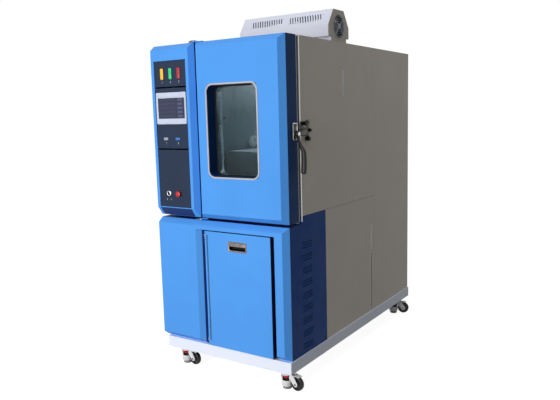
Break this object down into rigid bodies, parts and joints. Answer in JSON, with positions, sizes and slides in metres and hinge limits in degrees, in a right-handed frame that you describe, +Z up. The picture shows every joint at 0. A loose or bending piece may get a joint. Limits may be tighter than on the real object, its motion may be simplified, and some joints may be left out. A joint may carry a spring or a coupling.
{
  "type": "environmental test chamber",
  "caption": "Floor-standing climatic test chamber with a windowed insulated door, a control column, a service door, a roof fan housing and levelling castors.",
  "frame": {"origin": "on the floor, under the middle of the chamber's overall box", "axes": "+Z up, -Y towards the user who stands in front of the doors, +X to the user's right"},
  "size_m": [0.872, 1.566, 1.903],
  "materials": {
    "blue_paint": "satin powder coat",
    "grey_paint": "satin powder coat",
    "white_paint": "satin powder coat",
    "plate_paint": "matt dark coat",
    "steel": "zinc grey",
    "stainless": "brushed",
    "chrome": "polished",
    "castor_paint": "cream coat",
    "castor_tyre": "matt",
    "foot_red": "matt red dial on a black pad",
    "insulation": "foam and mineral wool",
    "black_rubber": "matt",
    "trim_rubber": "soft light grey",
    "glass": "clear",
    "screen": "backlit panel",
    "bezel": "satin",
    "lamps": "coloured lenses",
    "fittings": "matt",
    "button_red": "gloss",
    "grip_black": "chromed arm with a black grip",
    "silicone": "soft",
    "alloy": "fins",
    "motor_grey": "cast",
    "capsule_black": "gloss black",
    "fan_black": "matt"
  },
  "bodies": {
    "cabinet": {"air_duct": "stainless", "base_frame": "white_paint", "blower_motor": "motor_grey", "cabinet_frame": "steel", "castor_plates": "steel", "chamber_insulation": "insulation", "chamber_liner": "stainless", "compressor": "capsule_black", "condenser": "alloy", "control_column": "blue_paint", "door_gasket": "black_rubber", "evaporator_coil": "alloy", "exhaust_fan_frame": "fan_black", "heater_element": "stainless", "hinge_pins": "steel", "indicator_lamps": "lamps", "lamp_plate": "plate_paint", "latch_keeper": "chrome", "left_side_panel": "grey_paint", "lower_fascia": "blue_paint", "lower_side_panel": "grey_paint", "motor_housing": "white_paint", "panel_fittings": "fittings", "port_plug": "silicone", "rear_panel": "grey_paint", "rear_side_panel": "grey_paint", "screen_bezel": "bezel", "screen_glass": "screen", "screen_plate": "plate_paint", "shelf": "stainless", "side_cover": "blue_paint", "switch_plate": "plate_paint", "top_panel": "grey_paint", "upper_side_panel": "grey_paint"},
    "main_door": {"door_shell": "blue_paint", "door_inner_panel": "stainless", "door_insulation": "insulation", "window_trim": "trim_rubber", "window_panes": "glass", "latch_base": "chrome"},
    "latch": {"latch_lever": "grip_black"},
    "service_door": {"lower_door": "blue_paint", "pull_handle": "chrome"},
    "key": {"key_barrel": "chrome"},
    "button": {"stop_button": "button_red"},
    "blower": {"blower_wheel": "alloy"},
    "exhaust_rotor": {"exhaust_fan_rotor": "fan_black"},
    "condenser_rotor": {"condenser_fan": "fan_black"},
    "castor_front_left": {"castor_head_front_left": "castor_paint"},
    "wheel_front_left": {"castor_wheel_front_left": "castor_tyre"},
    "foot_front_left": {"castor_foot_front_left": "foot_red"},
    "castor_front_right": {"castor_head_front_right": "castor_paint"},
    "wheel_front_right": {"castor_wheel_front_right": "castor_tyre"},
    "foot_front_right": {"castor_foot_front_right": "foot_red"},
    "castor_rear_left": {"castor_head_rear_left": "castor_paint"},
    "wheel_rear_left": {"castor_wheel_rear_left": "castor_tyre"},
    "foot_rear_left": {"castor_foot_rear_left": "foot_red"},
    "castor_rear_right": {"castor_head_rear_right": "castor_paint"},
    "wheel_rear_right": {"castor_wheel_rear_right": "castor_tyre"},
    "foot_rear_right": {"castor_foot_rear_right": "foot_red"}
  },
  "joints": [
    {"name": "main_door_hinge", "type": "hinge", "parent": "cabinet", "child": "main_door", "pos_m": [-0.1545, -0.748, 1.295], "axis": [0, 0, 1], "range_deg": [-90, 0]},
    {"name": "latch_pivot", "type": "hinge", "parent": "main_door", "child": "latch", "pos_m": [0.401, -0.673, 1.277], "axis": [1, 0, 0], "range_deg": [-80, 0]},
    {"name": "service_door_hinge", "type": "hinge", "parent": "cabinet", "child": "service_door", "pos_m": [-0.1245, -0.76, 0.476], "axis": [0, 0, 1], "range_deg": [-110, 0]},
    {"name": "key_turn", "type": "hinge", "parent": "cabinet", "child": "key", "pos_m": [-0.353, -0.768, 0.967], "axis": [0, -1, 0], "range_deg": [0, 90]},
    {"name": "button_press", "type": "slide", "parent": "cabinet", "child": "button", "axis": [0, 1, 0], "range_m": [0, 0.004], "stiffness_N_per_m": 1000},
    {"name": "blower_spin", "type": "hinge", "parent": "cabinet", "child": "blower", "pos_m": [0.1, -0.215, 1.595], "axis": [0, 0, 1], "continuous": true},
    {"name": "exhaust_fan_spin", "type": "hinge", "parent": "cabinet", "child": "exhaust_rotor", "pos_m": [0.366, -0.215, 1.819], "axis": [1, 0, 0], "continuous": true},
    {"name": "condenser_fan_spin", "type": "hinge", "parent": "cabinet", "child": "condenser_rotor", "pos_m": [0.09, -0.495, 0.323], "axis": [0, 1, 0], "continuous": true},
    {"name": "swivel_front_left", "type": "hinge", "parent": "cabinet", "child": "castor_front_left", "pos_m": [-0.344, -0.692, 0.09], "axis": [0, 0, 1], "continuous": true},
    {"name": "roll_front_left", "type": "hinge", "parent": "castor_front_left", "child": "wheel_front_left", "pos_m": [-0.27864, -0.70118, 0.0385], "axis": [0.1392, 0.9903, 0], "continuous": true},
    {"name": "level_front_left", "type": "slide", "parent": "castor_front_left", "child": "foot_front_left", "axis": [0, 0, 1], "range_m": [-0.006, 0.008]},
    {"name": "swivel_front_right", "type": "hinge", "parent": "cabinet", "child": "castor_front_right", "pos_m": [0.322, -0.692, 0.09], "axis": [0, 0, 1], "continuous": true},
    {"name": "roll_front_right", "type": "hinge", "parent": "castor_front_right", "child": "wheel_front_right", "pos_m": [0.38736, -0.70118, 0.0385], "axis": [0.1392, 0.9903, 0], "continuous": true},
    {"name": "level_front_right", "type": "slide", "parent": "castor_front_right", "child": "foot_front_right", "axis": [0, 0, 1], "range_m": [-0.006, 0.008]},
    {"name": "swivel_rear_left", "type": "hinge", "parent": "cabinet", "child": "castor_rear_left", "pos_m": [-0.344, 0.67, 0.09], "axis": [0, 0, 1], "continuous": true},
    {"name": "roll_rear_left", "type": "hinge", "parent": "castor_rear_left", "child": "wheel_rear_left", "pos_m": [-0.28025, 0.68708, 0.0385], "axis": [-0.2588, 0.9659, 0], "continuous": true},
    {"name": "level_rear_left", "type": "slide", "parent": "castor_rear_left", "child": "foot_rear_left", "axis": [0, 0, 1], "range_m": [-0.006, 0.008]},
    {"name": "swivel_rear_right", "type": "hinge", "parent": "cabinet", "child": "castor_rear_right", "pos_m": [0.322, 0.67, 0.09], "axis": [0, 0, 1], "continuous": true},
    {"name": "roll_rear_right", "type": "hinge", "parent": "castor_rear_right", "child": "wheel_rear_right", "pos_m": [0.38402, 0.69257, 0.0385], "axis": [-0.342, 0.9397, 0], "continuous": true},
    {"name": "level_rear_right", "type": "slide", "parent": "castor_rear_right", "child": "foot_rear_right", "axis": [0, 0, 1], "range_m": [-0.006, 0.008]}
  ]
}
